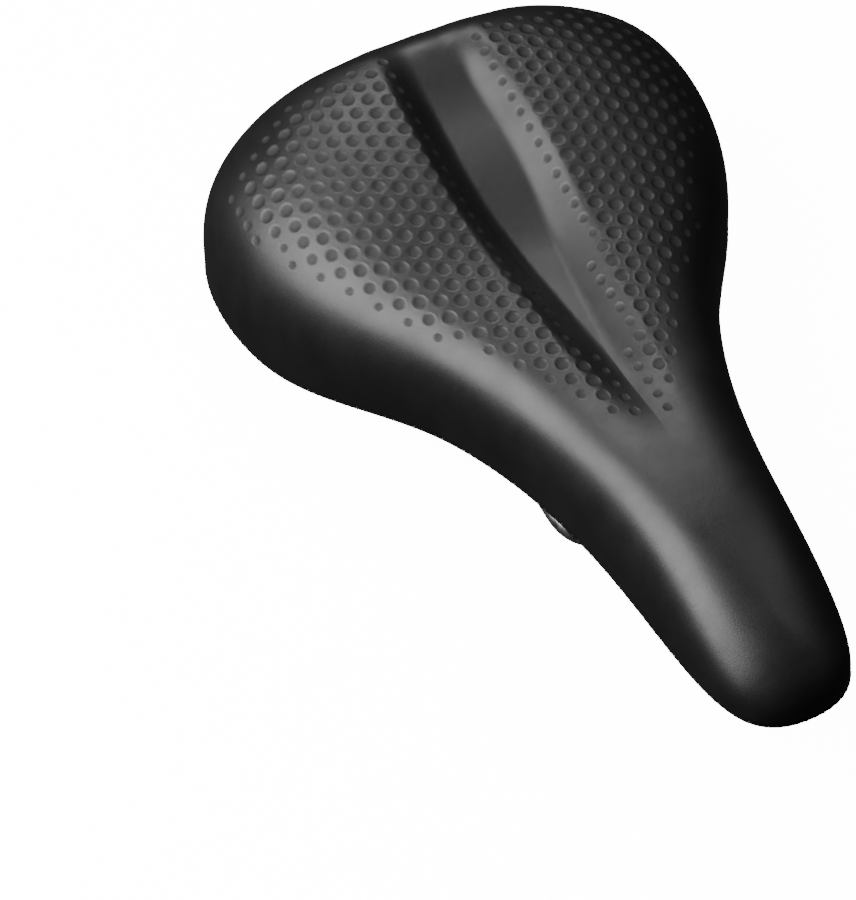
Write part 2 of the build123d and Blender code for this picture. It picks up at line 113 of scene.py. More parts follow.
DIMPLE_FIRST_X, DIMPLE_STEP_X, DIMPLE_COLUMNS = 4.7, 5.5, 14
DIMPLE_PHASE = {1: (4.2, 0.95), -1: (0.95, 4.1)}          # by side: even columns, odd columns
DIMPLE_FRONT = [
    (4.7, -46), (6, -42), (11, -40), (16, -29), (27, -10), (37.5, 5), (48.5, 18),
    (59.5, 39), (70, 54), (76.5, 70),
]
DIMPLE_REAR = [(4.7, 112), (50, 112), (60, 106), (65, 103), (76.5, 97)]
DIMPLE_INNER = [(-46, 4), (-17, 4.5), (-10, 8), (12, 9), (30, 14), (112, 14)]
DIMPLE_SIZES = ((1.5, 0.24), (1.95, 0.34), (2.1, 0.4))   # radius, depth: border to middle
DIMPLE_BOWL, DIMPLE_LIP = 0.6, 0.12           # roundness of the bowl, height of its lip
CELL_PITCH, CELL_WALL, CELL_CORNER = 7.5, 1.2, 1.3
CELL_TURN, CELL_FIRST = 0.0, (7.8, -44.5)
CELL_ROUND, CELL_SINK = 14, 0.3
RIM_W, RIM_H, BEAD_FULL = 3.2, 1.3, 2.3        # bead round the opening
RIDGE_AT, RIDGE_W, RIDGE_H = 4.4, 0.4, 0.35    # thin ridge outside it
PARTING_BAND, PARTING_PROUD, PARTING_CUT = 1.7, 0.28, 0.3
SEAM_DEEP, SEAM_W, SEAM_DRAW, SEAM_SPREAD = 0.8, 0.7, 0.35, 4.0
STITCH_ROWS, STITCH_PITCH, STITCH_LONG, STITCH_R = (-0.028, 0.028), 3.2, 2.3, 0.32
STITCH_SHAPE = [                               # along it, height and size in thread radii
    (0, -1.0, 0.5), (0.12, -0.15, 0.9), (0.5, 0.25, 1), (0.88, -0.15, 0.9), (1, -1.0, 0.5),
]

# --- the view ------------------------------------------------------------------------------
CAMERA_AZIMUTH, CAMERA_ELEVATION, CAMERA_ROLL = -23.06, 51.87, -2.71
CAMERA_TARGET, CAMERA_DISTANCE = (-0.06101, -0.01938, 0.045), 0.915
CAMERA_LENS, CAMERA_SENSOR = 122.94, 36.0
WORLD_STRENGTH = 0.03
FLOOR_GLOW = 14.0
FLOOR_HALF = 4.0
LIGHTS = [
    ("key", -99, 40, 1.0, (0.85, 1.0), 27),
    ("fill", 80, 60, 1.6, (0.9, 0.9), 3.5),
    ("rear", 170, 50, 1.4, (0.8, 0.35), 8),
]


# --- curves --------------------------------------------------------------------------------
def through(knots, y):
    """Smooth curve through (y, value) knots listed from tail to nose, for an array of y."""
    ky = np.array([k[0] for k in knots], float)[::-1]
    kv = np.array([k[1] for k in knots], float)[::-1]
    gaps = np.diff(ky)
    rates = np.diff(kv) / gaps
    slopes = np.zeros(len(ky))
    slopes[0], slopes[-1] = rates[0], rates[-1]
    for i in range(1, len(ky) - 1):
        if rates[i - 1] * rates[i] > 0:
            slopes[i] = 2 * rates[i - 1] * rates[i] / (rates[i - 1] + rates[i])
    y = np.clip(np.asarray(y, float), ky[0], ky[-1])
    i = np.clip(np.searchsorted(ky, y, side="right") - 1, 0, len(ky) - 2)
    h = gaps[i]
    t = (y - ky[i]) / h
    ease = t * t * (3 - 2 * t)
    start = t * (1 - t) ** 2 * h * slopes[i]
    end = t * t * (t - 1) * h * slopes[i + 1]
    return kv[i] * (1 - ease) + kv[i + 1] * ease + start + end


def eased(knots, y, spread=9.0):
    """The same curve with its bends spread out, so that it shades evenly."""
    steps = np.linspace(-spread, spread, 7)
    return sum(through(knots, y + step) for step in steps) / len(steps)


def between(knots, x):
    """Straight runs between (x, value) knots in rising x."""
    return np.interp(x, [k[0] for k in knots], [k[1] for k in knots])


def smooth(t):
    """0 below 0, 1 above 1, eased between."""
    t = np.clip(t, 0, 1)
    return t * t * (3 - 2 * t)


def closed_spline(half_points, count):
    """Right half of a closed symmetric cubic spline: count even points and their tangents."""
    left = [(-x, y) for x, y in half_points[-2:0:-1]]
    points = np.array(half_points + left, float)
    n = len(points)
    h = np.sqrt(np.hypot(*(np.roll(points, -1, 0) - points).T))
    system = np.zeros((n, n))
    right = np.zeros((n, 2))
    for i in range(n):
        a, b = h[i - 1], h[i]
        before, here, after = points[i - 1], points[i], points[(i + 1) % n]
        system[i, i - 1] += a
        system[i, i] += 2 * (a + b)
        system[i, (i + 1) % n] += b
        right[i] = 6 * ((after - here) / b - (here - before) / a)
    bend = np.linalg.solve(system, right)
    half = len(half_points) - 1
    fine = np.linspace(0, half, 6001)
    i = np.minimum(fine.astype(int), half - 1)
    step = h[i][:, None]
    t = (fine - i)[:, None] * step
    p, q, m, k = points[i], points[(i + 1) % n], bend[i], bend[(i + 1) % n]
    place = (
        m * (step - t) ** 3 / (6 * step) + k * t ** 3 / (6 * step)
        + (p / step - m * step / 6) * (step - t) + (q / step - k * step / 6) * t
    )
    length = np.concatenate([[0], np.cumsum(np.hypot(*np.diff(place, axis=0).T))])
    even = np.linspace(0, length[-1], count)
    x = np.interp(even, length, place[:, 0])
    y = np.interp(even, length, place[:, 1])
    x[0] = x[-1] = 0
    dx, dy = np.gradient(x), np.gradient(y)
    dy[0] = dy[-1] = 0
    size = np.hypot(dx, dy)
    return np.stack([x, y], 1), np.stack([dx, dy], 1) / size[:, None]


def moved_in(place, along, inset):
    """Outline moved inwards by inset."""
    moved = place + np.stack([along[:, 1], -along[:, 0]], 1) * inset
    moved[0, 0] = moved[-1, 0] = 0
    return moved


def distance_to(line, x, y):
    """Distance from each point to a line of close points and to its mirror image."""
    flat = np.stack([np.abs(x).ravel(), y.ravel()], 1)
    out = np.empty(len(flat))
    for i in range(0, len(flat), 4000):
        gap = flat[i:i + 4000, None] - line[None]
        out[i:i + 4000] = np.sqrt((gap ** 2).sum(2).min(1))
    return out.reshape(x.shape)


def crossings(start, end, loop):
    """For each ray from start to end, the share of it at which it crosses a half loop."""
    share = np.empty(len(start))
    for i in range(len(start)):
        run = end[i] - start[i]
        reach = loop - start[i]
        side = run[0] * reach[:, 1] - run[1] * reach[:, 0]
        along = reach @ run / (run @ run)
        flips = np.flatnonzero(side[:-1] * side[1:] <= 0)
        best = None
        for j in flips:
            gap = side[j + 1] - side[j]
            t = 0.5 if gap == 0 else -side[j] / gap
            at = along[j] * (1 - t) + along[j + 1] * t
            if 0 < at < 1 and (best is None or at < best):
                best = at
        share[i] = best
    return share


# --- surfaces ------------------------------------------------------------------------------
PLACE, ALONG = closed_spline(OUTLINE, COLUMNS)
FINE_PLACE, FINE_ALONG = closed_spline(OUTLINE, FINE_COLUMNS)
PART = (TAIL_Y - PLACE[:, 1]) / (TAIL_Y - NOSE_Y)


def channel(x, y):
    """Depth of the relief channel."""
    wall = (np.abs(x) - eased(CHANNEL_HALF, y) + CHANNEL_WALL / 2) / CHANNEL_WALL
    return eased(CHANNEL_DEPTH, y) * (1 - smooth(wall))


class Form:
    """One of the nested saddle-shaped surfaces, as columns round half of the outline."""

    def __init__(self, inset, drop, padded, groove, bottom):
        self.rim = moved_in(PLACE, ALONG, inset)
        self.fine_rim = moved_in(FINE_PLACE, FINE_ALONG, inset)
        self.groove, self.bottom = groove, bottom
        self.spine = SPINE_TAIL_Y + (SPINE_NOSE_Y - SPINE_TAIL_Y) * PART
        self.middle = HOLLOW_TAIL_Y + (HOLLOW_NOSE_Y - HOLLOW_TAIL_Y) * PART
        self.drop, self.padded = drop, padded
        self.edge_z = through(PARTING, PLACE[:, 1])[:, None]
        self.power = through(FULLNESS, PLACE[:, 1])[:, None]

    def upper(self, r):
        """Points over the crown; r is columns by rows, from 0 on the ridge to 1 at the edge."""
        x = self.rim[:, :1] * r
        y = self.spine[:, None] + (self.rim[:, 1:] - self.spine[:, None]) * r
        rise = np.clip(1 - r ** self.power, 0, 1) ** (1 / SHOULDER)
        top = eased(CROWN, y) - self.drop - self.padded * PAD_T * through(PAD_FADE, y)
        z = self.edge_z + (top - self.edge_z - self.groove * channel(x, y)) * rise
        return np.stack([x, y, z], -1)

    def lower(self, r):
        """Points under the edge; r falls from 1 at the edge towards the middle line."""
        x = self.rim[:, :1] * r
        y = self.middle[:, None] + (self.rim[:, 1:] - self.middle[:, None]) * r
        flat = np.clip(distance_to(self.fine_rim, x, y) / ROLL_W, 0, 1)
        flat[r >= 1] = 0
        z = through(PARTING, y) - self.bottom * np.sqrt(1 - (1 - flat) ** ROLL)
        return np.stack([x, y, z], -1)

    def r_at(self, loop):
        """For each column, the r at which the lower surface meets a closed half loop."""
        end = np.stack([np.zeros(len(self.rim)), self.middle], 1)
        return 1 - crossings(self.rim, end, loop)


COVER = Form(0, 0, 0, 1, LIP_DROP)
COVER_INSIDE = Form(COVER_T, COVER_T, 0, 1, LIP_DROP - COVER_T)
CELL_FLOOR = Form(COVER_T, COVER_T, 1, 0, LIP_DROP - COVER_T)
WALL = COVER_T + FIT_GAP
INNER = WALL + SKIN_T
SADDLE = Form(WALL, WALL + CHANNEL_GAP, 1, 0, LIP_DROP - WALL)
PADDING = Form(INNER, INNER + CHANNEL_GAP, 1, 0, LIP_DROP - INNER)


# --- rows ----------------------------------------------------------------------------------
def lengths(points, share=1.0):
    """Running length of each column of a grid, from its first row."""
    steps = np.linalg.norm(np.diff(points, axis=1), axis=2) * share
    return np.concatenate([np.zeros((len(points), 1)), np.cumsum(steps, 1)], 1)


def rows_at(wanted, length, r):
    """r at the wanted running lengths; everything is columns by rows."""
    return np.stack([np.interp(w, s, f) for w, s, f in zip(wanted, length, r)])


def crown_rows(form, rows, edge=()):
    """r over the crown, wider apart on the side walls, then at the edge distances given."""
    r = np.sin(np.linspace(0, np.pi / 2, CROWN_STEPS))[None, :] * np.ones((COLUMNS, 1))
    points = form.upper(r)
    length = lengths(points)
    steps = np.diff(points, axis=1)
    steep = np.abs(steps[..., 2]) / np.maximum(np.linalg.norm(steps, axis=2), 1e-9)
    weighted = lengths(points, 1 - (1 - SIDE_SHARE) * smooth((steep - SIDE_FROM) / (1 - SIDE_FROM)))
    last = [np.interp(s[-1] - max(edge, default=0), s, w) for s, w in zip(length, weighted)]
    even = np.array(last)[:, None] * np.linspace(0, 1, rows)[None, :]
    main = rows_at(even, weighted, r)
    if not edge:
        return main
    close = rows_at(length[:, -1:] - np.array(edge[1:])[None, :], length, r)
    return np.concatenate([main, close], 1)


def under_rows(form, r_end, rows, edge=()):
    """r under the edge at the distances from it given, then evenly to r_end."""
    r = 1 - (1 - r_end)[:, None] * np.linspace(0, 1, UNDER_STEPS)[None, :] ** 2
    length = lengths(form.lower(r))
    first = edge[-1] if edge else 0
    even = first + (length[:, -1:] - first) * np.linspace(0, 1, rows)[None, 1:]
    head = np.array(edge or (0,))[None, :] * np.ones((COLUMNS, 1))
    return rows_at(np.concatenate([head, even], 1), length, r)


# --- meshes --------------------------------------------------------------------------------
def new_object(name, verts, faces, material, dented=None):
    """A smooth-shaded mesh object; verts are in millimetres."""
    mesh = bpy.data.meshes.new(name)
    mesh.from_pydata((np.asarray(verts) * MM).tolist(), [], faces)
    if dented is not None:
        mesh.attributes.new("dented", "FLOAT", "POINT").data.foreach_set("value", dented)
    mesh.materials.append(material)
    obj = bpy.data.objects.new(name, mesh)
    bpy.context.scene.collection.objects.link(obj)
    weld(obj)
    return obj


def weld(obj, distance=0.004 * MM):
    """Joins points that coincide, drops what collapses and turns the faces outwards."""
    bm = bmesh.new()
    bm.from_mesh(obj.data)
    bmesh.ops.remove_doubles(bm, verts=bm.verts, dist=distance)
    bmesh.ops.dissolve_degenerate(bm, edges=bm.edges, dist=distance / 10)
    bmesh.ops.recalc_face_normals(bm, faces=bm.faces)
    bm.to_mesh(obj.data)
    bm.free()
    for poly in obj.data.polygons:
        poly.use_smooth = True


def belongs(obj, body, slot, *nodes):
    """obj rides on a body and stands for CAD nodes, which it hides; slot is not used."""
    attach(obj, body)
    if nodes:
        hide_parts(*nodes)


class Shell:
    """A right-half grid of points with its mirror image, sharing the points on X = 0."""

    def __init__(self, grid):
        self.grid = grid
        flat = grid.reshape(-1, 3)
        self.index = np.arange(len(flat)).reshape(grid.shape[:2])
        sides = np.flatnonzero(np.abs(flat[:, 0]) > 1e-6)
        self.other = np.arange(len(flat))
        self.other[sides] = len(flat) + np.arange(len(sides))
        self.sides = sides
        self.points = self.both(flat)

    def both(self, flat):
        """Values of the right half with their mirror image, for points or normals."""
        return np.concatenate([flat, flat[self.sides] * [-1, 1, 1]])

    def normals(self):
        """Unit normals of every point, upwards on the crown."""
        n = np.cross(np.gradient(self.grid, axis=0), np.gradient(self.grid, axis=1))
        n /= np.maximum(np.linalg.norm(n, axis=2, keepdims=True), 1e-12)
        n *= np.sign(n[:, 5:20, 2].mean())
        return self.both(n.reshape(-1, 3))

    def rows(self, start, stop):
        """Numbers of the points in those rows, on both halves."""
        right = self.index[:, start:stop].ravel()
        return np.unique(np.concatenate([right, self.other[right]]))

    def faces(self):
        quads = []
        for g in (self.index, self.other[self.index][:, ::-1]):
            corners = (g[:-1, :-1], g[1:, :-1], g[1:, 1:], g[:-1, 1:])
            quads.append(np.stack([c.ravel() for c in corners], 1))
        return np.concatenate(quads).tolist()

    def tree(self):
        """For ray casts."""
        return BVHTree.FromPolygons(self.points.tolist(), self.faces())


def height_on(tree, x, y):
    """Where a ray straight down meets a surface, and the normal there; None off the surface."""
    hit, normal, _, _ = tree.ray_cast(Vector((x, y, RAY_FROM)), Vector((0, 0, -1)))
    return hit, normal


# --- the cover -----------------------------------------------------------------------------
def dimple_centres():
    """(x, y, (radius, depth)) of each dent; those at the border of the field are smaller."""
    spots = []
    for side in (1, -1):
        for k in range(DIMPLE_COLUMNS):
            x = DIMPLE_FIRST_X + DIMPLE_STEP_X * k
            front = between(DIMPLE_FRONT, x) - DIMPLE_PITCH / 4
            rear = between(DIMPLE_REAR, x)
            for j in range(-9, 19):
                y = DIMPLE_PHASE[side][k % 2] + DIMPLE_PITCH * j
                if front <= y <= rear and x >= between(DIMPLE_INNER, y):
                    spots.append((side * x, y))
    spots = np.array(spots)
    gaps = spots[:, None] - spots[None]
    reach = np.hypot(gaps[..., 0] / DIMPLE_STEP_X, gaps[..., 1] / DIMPLE_PITCH)
    same_side = spots[:, None, 0] * spots[None, :, 0] > 0
    near = same_side & (reach > 0.1) & (reach < 1.25)
    size = np.digitize(near.sum(1), (5, 6))
    return [(x, y, DIMPLE_SIZES[s]) for (x, y), s in zip(spots, size)]


def dimple_push(points, surface):
    """How far each point moves along its normal, and how deep it is in a dent from 0 to 1."""
    tree = KDTree(len(points))
    for i, point in enumerate(points):
        tree.insert(point, i)
    tree.balance()
    push, inside = np.zeros(len(points)), np.zeros(len(points))
    for x, y, (radius, deep) in dimple_centres():
        centre, normal = height_on(surface, x, y)
        for point, i, _ in tree.find_range(centre, radius * 1.6):
            away = point - centre
            t = (away - normal * away.dot(normal)).length / radius
            bowl = (1 - t * t) ** DIMPLE_BOWL if t < 1 else 0
            lip = DIMPLE_LIP * math.exp(-((t - 1.14) / 0.16) ** 2)
            push[i] += deep * (lip - bowl)
            inside[i] = max(inside[i], min(1, 5 * (0.98 - t)))
    return push, inside


def bead_fall(w):
    """How far the ridge and the bead round the opening hang, at distance w from its edge."""
    u = np.clip(np.abs(w - RIM_W / 2) / (RIM_W / 2), 0, 1)
    bead = RIM_H * (1 - u ** BEAD_FULL) ** (1 / BEAD_FULL)
    ridge = RIDGE_H * np.exp(-((w - RIDGE_AT) / RIDGE_W) ** 2)
    return np.where(w < RIM_W, bead, ridge)


def rows_beside(form, loop, r_loop, distances):
    """r at square distances outside a loop that the form's columns meet at r_loop."""
    run = form.rim - np.stack([np.zeros(COLUMNS), form.middle], 1)
    reach = np.hypot(run[:, 0], run[:, 1])
    landing = run * r_loop[:, None] + np.stack([np.zeros(COLUMNS), form.middle], 1)
    tangent = np.gradient(loop, axis=0)
    tangent /= np.linalg.norm(tangent, axis=1, keepdims=True)
    t = tangent[((landing[:, None] - loop[None]) ** 2).sum(2).argmin(1)]
    square = np.abs(run[:, 0] * t[:, 1] - run[:, 1] * t[:, 0]) / reach
    return r_loop[:, None] + distances[None, :] / (np.maximum(square, 0.4) * reach)[:, None]


def parting_push(from_edge, below):
    """Groove of the parting line and the slim band under it."""
    groove = -PARTING_CUT * np.exp(-(from_edge / 0.22) ** 2)
    rise = smooth((from_edge - 0.25) / 0.35)
    band = PARTING_PROUD * rise * (1 - smooth((from_edge - PARTING_BAND) / 0.5))
    return groove + below * band


def cover_shell(material):
    """The cover as one closed skin: crown, parting band, lip, bead, opening and inside."""
    opening = closed_spline(OPENING, LOOP_POINTS)[0]
    crown = COVER.upper(crown_rows(COVER, CROWN_ROWS, EDGE_ABOVE))
    bead_r = rows_beside(COVER, opening, COVER.r_at(opening), BEAD_ROWS)
    under = COVER.lower(under_rows(COVER, bead_r[:, 0], UNDER_ROWS, EDGE_BELOW))
    bead = COVER.lower(bead_r[:, 1:])
    bead[..., 2] -= bead_fall(BEAD_ROWS[1:])
    inner_r = under_rows(COVER_INSIDE, COVER_INSIDE.r_at(opening), INSIDE_UNDER_ROWS)
    inner_under = COVER_INSIDE.lower(inner_r[:, ::-1])
    wall = bead[:, -1:] + (inner_under[:, :1] - bead[:, -1:]) * WALL_STEPS[None, :, None]
    inside = COVER_INSIDE.upper(crown_rows(COVER_INSIDE, INSIDE_ROWS)[:, ::-1])
    shell = Shell(np.concatenate([
        crown, under[:, 1:], bead, wall, inner_under, inside[:, 1:],
    ], 1))
    normals = shell.normals()
    push = np.zeros(len(shell.points))
    over = shell.rows(0, crown.shape[1])
    surface = Shell(crown[::2, ::2]).tree()
    dented = np.zeros(len(shell.points))
    push[over], dented[over] = dimple_push(shell.points[over], surface)
    outside = np.concatenate([crown, under[:, 1:]], 1)
    from_edge = lengths(outside) - lengths(crown)[:, -1:]
    steps = parting_push(np.abs(from_edge), from_edge > 0)
    right = shell.index[:, :outside.shape[1]]
    push[right] += steps
    left = shell.other[right]
    push[left] = np.where(left == right, push[left], push[left] + steps)
    points = shell.points + normals * push[:, None]
    return new_object("cover_shell", points, shell.faces(), material, dented)


# --- the air cells -------------------------------------------------------------------------
def inside_loop(loop, x, y):
    """True if a point lies inside a closed outline."""
    inside = False
    for (ax, ay), (bx, by) in zip(loop, loop[1:] + loop[:1]):
        if (ay > y) != (by > y) and x < (bx - ax) * (y - ay) / (by - ay) + ax:
            inside = not inside
    return inside


def cell_ring(centre, sides=4):
    """Hexagon of one cell and its rounded hole, with a few points on each side."""
    ring, hole = [], []
    apothem = (CELL_PITCH - CELL_WALL) / 2
    corner = apothem / math.cos(math.pi / 6) - CELL_CORNER * (2 / math.sqrt(3) - 1)
    radius = CELL_PITCH / math.sqrt(3)
    for k in range(6):
        start = CELL_TURN + math.radians(30 + 60 * k)
        a = Vector((math.cos(start), math.sin(start))) * radius
        b = Vector((math.cos(start + math.pi / 3), math.sin(start + math.pi / 3))) * radius
        for j in range(sides):
            out = a.lerp(b, j / sides)
            off = math.atan2(out.y, out.x) - start - math.pi / 6
            flat = apothem / math.cos(off)
            size = (flat ** -CELL_ROUND + corner ** -CELL_ROUND) ** (-1 / CELL_ROUND)
            ring.append(centre + out)
            hole.append(centre + out.normalized() * size)
    return ring, hole


def cell_centres():
    """Cells whose middle lies in the padded zone."""
    a = Vector((math.cos(CELL_TURN), math.sin(CELL_TURN))) * CELL_PITCH
    b = Matrix.Rotation(math.pi / 3, 2) @ a
    start = Vector(CELL_FIRST)
    spots = {}
    for i in range(-20, 21):
        for j in range(-20, 21):
            spot = start + a * i + b * j
            if inside_loop(CELL_ZONE, spot.x, spot.y):
                spots[(i, j)] = spot
    return spots


def air_cells(side, name, material):
    """Open honeycomb under one lobe: walls from the cell floor up into the cover's ceiling."""
    ceiling = Shell(COVER_INSIDE.upper(crown_rows(COVER_INSIDE, CELL_SURFACE_ROWS))[::3]).tree()
    floor = Shell(CELL_FLOOR.upper(crown_rows(CELL_FLOOR, CELL_SURFACE_ROWS))[::3]).tree()
    spots = cell_centres()
    verts, faces = [], []

    def column(x, y, lifts):
        """Points from the cell floor up to just inside the ceiling."""
        low = height_on(floor, x, y)[0].z
        high = max(height_on(ceiling, x, y)[0].z + CELL_SINK, low + 0.3)
        first = len(verts)
        verts.extend((side * x, y, low + (high - low) * f) for f in lifts)
        return first

    for (i, j), spot in spots.items():
        ring, hole = cell_ring(spot)
        n = len(ring)
        outer = [column(p.x, p.y, (0, 1)) for p in ring]
        mouth = [column(*(spot + (p - spot) * 1.05), (0, 1)) for p in hole]
        throat = [column(p.x, p.y, (0.06, 1)) for p in hole]
        steps = [(1, 0), (0, 1), (-1, 1), (-1, 0), (0, -1), (1, -1)]
        for m in range(n):
            k = (m + 1) % n
            faces.append((outer[m], outer[k], mouth[k], mouth[m]))
            faces.append((mouth[m], mouth[k], throat[k], throat[m]))
            faces.append((throat[m], throat[k], throat[k] + 1, throat[m] + 1))
            faces.append((outer[m] + 1, throat[m] + 1, throat[k] + 1, outer[k] + 1))
            di, dj = steps[(m // (n // 6) + 1) % 6]
            if (i + di, j + dj) not in spots:
                faces.append((outer[m], outer[m] + 1, outer[k] + 1, outer[k]))
    return new_object(name, verts, faces, material)


# --- the upholstery ------------------------------------------------------------------------
def scaled_loop(across, along, count):
    """Outline scaled across and along, about its middle, as half a loop of points."""
    loop = closed_spline(OUTLINE, count)[0]
    return np.stack([loop[:, 0] * across, MID_Y + (loop[:, 1] - MID_Y) * along], 1)


def seam_push(x, y):
    """Inward pull of the seam round the top panel and of those down the tail and the nose."""
    loop = scaled_loop(*PANEL, SEAM_POINTS)
    to_loop = distance_to(loop, x, y)
    half_wide = np.interp(-y, -loop[:, 1], loop[:, 0], left=0, right=0)
    near = np.where(np.abs(x) > half_wide, np.minimum(to_loop, np.abs(x)), to_loop)
    seam = SEAM_DEEP * np.exp(-(near / SEAM_W) ** 2)
    return -seam - SEAM_DRAW * np.exp(-(near / SEAM_SPREAD) ** 2)


def upholstery(material):
    """The saddle's stretched skin: top panel and two sides, sewn, wrapped under the base."""
    wrap = scaled_loop(*WRAP, LOOP_POINTS)
    upper = SADDLE.upper(crown_rows(SADDLE, SKIN_ROWS))
    under = SADDLE.lower(under_rows(SADDLE, SADDLE.r_at(wrap), UNDER_ROWS))
    back = PADDING.lower(under_rows(PADDING, PADDING.r_at(wrap), UNDER_ROWS)[:, ::-1])
    inside = PADDING.upper(crown_rows(PADDING, INSIDE_ROWS)[:, ::-1])
    shell = Shell(np.concatenate([upper, under[:, 1:], back, inside[:, 1:]], 1))
    over = shell.rows(0, upper.shape[1])
    push = np.zeros(len(shell.points))
    push[over] = seam_push(shell.points[over, 0], shell.points[over, 1])
    points = shell.points + shell.normals() * push[:, None]
    return new_object("saddle_upholstery", points, shell.faces(), material)


def stitches(name, skin, material):
    """Two rows of short thread stitches beside the seam round the top panel."""
    tree = BVHTree.FromPolygons([v.co / MM for v in skin.data.vertices],
                                [list(p.vertices) for p in skin.data.polygons])
    verts, faces = [], []
    for share in STITCH_ROWS:
        loop = scaled_loop(PANEL[0] + share, PANEL[1] + share, STITCH_POINTS)
        length = np.concatenate([[0], np.cumsum(np.hypot(*np.diff(loop, axis=0).T))])
        for at in np.arange(STITCH_PITCH / 2, length[-1], STITCH_PITCH):
            reach = (at - STITCH_LONG / 2, at + STITCH_LONG / 2)
            ends = [[np.interp(d, length, loop[:, axis]) for axis in (0, 1)] for d in reach]
            for side in (1, -1):
                stitch(tree, [Vector((side * x, y)) for x, y in ends], verts, faces)
    return new_object(name, verts, faces, material)


def stitch(tree, ends, verts, faces, around=6):
    """One stitch: a little sausage that dips into the skin at both ends."""
    a, b = ends
    along = (b - a).normalized()
    across = Vector((-along.y, along.x, 0))
    first = len(verts)
    for f, lift, size in STITCH_SHAPE:
        spot = a.lerp(b, f)
        hit, normal = height_on(tree, spot.x, spot.y)
        if hit is None:
            return
        centre = hit + normal * lift * STITCH_R
        for k in range(around):
            t = 2 * math.pi * k / around
            offset = across * math.cos(t) + normal * math.sin(t)
            verts.append(centre + offset * STITCH_R * size)
    for row in range(len(STITCH_SHAPE) - 1):
        for k in range(around):
            m = (k + 1) % around
            low, high = first + row * around, first + (row + 1) * around
            faces.append((low + k, low + m, high + m, high + k))
    faces.append(tuple(range(first + around - 1, first - 1, -1)))
    last = first + (len(STITCH_SHAPE) - 1) * around
    faces.append(tuple(range(last, last + around)))


# --- materials -----------------------------------------------------------------------------
class Paint:
    """Small helper round one node material."""

    def __init__(self, name):
        self.material = bpy.data.materials.new(name)
        self.material.use_nodes = True
        self.nodes = self.material.node_tree.nodes
        self.links = self.material.node_tree.links
        self.shader = self.nodes["Principled BSDF"]
        self.place = self.nodes.new("ShaderNodeTexCoord").outputs["Object"]

    def set(self, **values):
        for key, value in values.items():
            self.shader.inputs[key.replace("_", " ")].default_value = value
        return self

    def stretched(self, scale):
        """Object coordinates stretched by scale, for grain that runs one way."""
        node = self.nodes.new("ShaderNodeMapping")
        node.inputs["Scale"].default_value = scale
        self.links.new(self.place, node.inputs["Vector"])
        return node.outputs["Vector"]

    def noise(self, size_mm, detail=3.0, rough=0.55, vector=None):
        """Noise whose features are about size_mm across."""
        node = self.nodes.new("ShaderNodeTexNoise")
        node.inputs["Scale"].default_value = 1 / (size_mm * MM)
        node.inputs["Detail"].default_value = detail
        node.inputs["Roughness"].default_value = rough
        self.links.new(vector or self.place, node.inputs["Vector"])
        return node.outputs["Fac"]

    def cells(self, size_mm, feature="F1"):
        """Voronoi cells about size_mm across."""
        node = self.nodes.new("ShaderNodeTexVoronoi")
        node.feature = feature
        node.inputs["Scale"].default_value = 1 / (size_mm * MM)
        self.links.new(self.place, node.inputs["Vector"])
        return node.outputs["Distance"]

    def attribute(self, name):
        """A number that each point of the mesh carries."""
        node = self.nodes.new("ShaderNodeAttribute")
        node.attribute_name = name
        return node.outputs["Fac"]

    def ramp(self, value, low, high, start=0.35, stop=0.65):
        """value from start to stop turned into low to high, which are numbers or colours."""
        node = self.nodes.new("ShaderNodeMapRange")
        node.inputs["From Min"].default_value = start
        node.inputs["From Max"].default_value = stop
        if isinstance(low, tuple):
            node.inputs["To Min"].default_value = 0
            self.links.new(value, node.inputs["Value"])
            mix = self.nodes.new("ShaderNodeMix")
            mix.data_type = "RGBA"
            mix.inputs["A"].default_value = (*low, 1)
            mix.inputs["B"].default_value = (*high, 1)
            self.links.new(node.outputs["Result"], mix.inputs["Factor"])
            return mix.outputs["Result"]
        node.inputs["To Min"].default_value = low
        node.inputs["To Max"].default_value = high
        self.links.new(value, node.inputs["Value"])
        return node.outputs["Result"]

    def math(self, how, a, b):
        node = self.nodes.new("ShaderNodeMath")
        node.operation = how
        for socket, value in zip(node.inputs, (a, b)):
            if isinstance(value, (int, float)):
                socket.default_value = value
            else:
                self.links.new(value, socket)
        return node.outputs[0]

    def colour(self, value):
        self.links.new(value, self.shader.inputs["Base Color"])
        return self

    def roughness(self, value):
        self.links.new(value, self.shader.inputs["Roughness"])
        return self

    def bump(self, height, deep_mm, strength=1.0):
        """Fine relief, deep_mm high where the height goes from 0 to 1."""
        node = self.nodes.new("ShaderNodeBump")
        node.inputs["Strength"].default_value = strength
        node.inputs["Distance"].default_value = deep_mm * MM
        self.links.new(height, node.inputs["Height"])
        last = self.shader.inputs["Normal"]
        if last.is_linked:
            self.links.new(last.links[0].from_socket, node.inputs["Normal"])
        self.links.new(node.outputs["Normal"], last)
        return self


def silicone_paint(name, dark, light):
    """Moulded silicone: satin, with a fine mould grain, faint mottling and handling marks."""
    p = Paint(name)
    p.colour(p.ramp(p.noise(28, 4), dark, light, 0.3, 0.7))
    grain = p.noise(0.35, 2, 0.6)
    dented = p.attribute("dented")
    satin = p.math("ADD", p.ramp(p.noise(12, 5), 0.37, 0.43), p.ramp(grain, -0.03, 0.03))
    p.roughness(p.math("ADD", satin, p.ramp(dented, 0, 0.24, 0, 1)))
    p.bump(grain, 0.03)
    p.bump(p.noise(3.5, 3), 0.03)
    return p.material


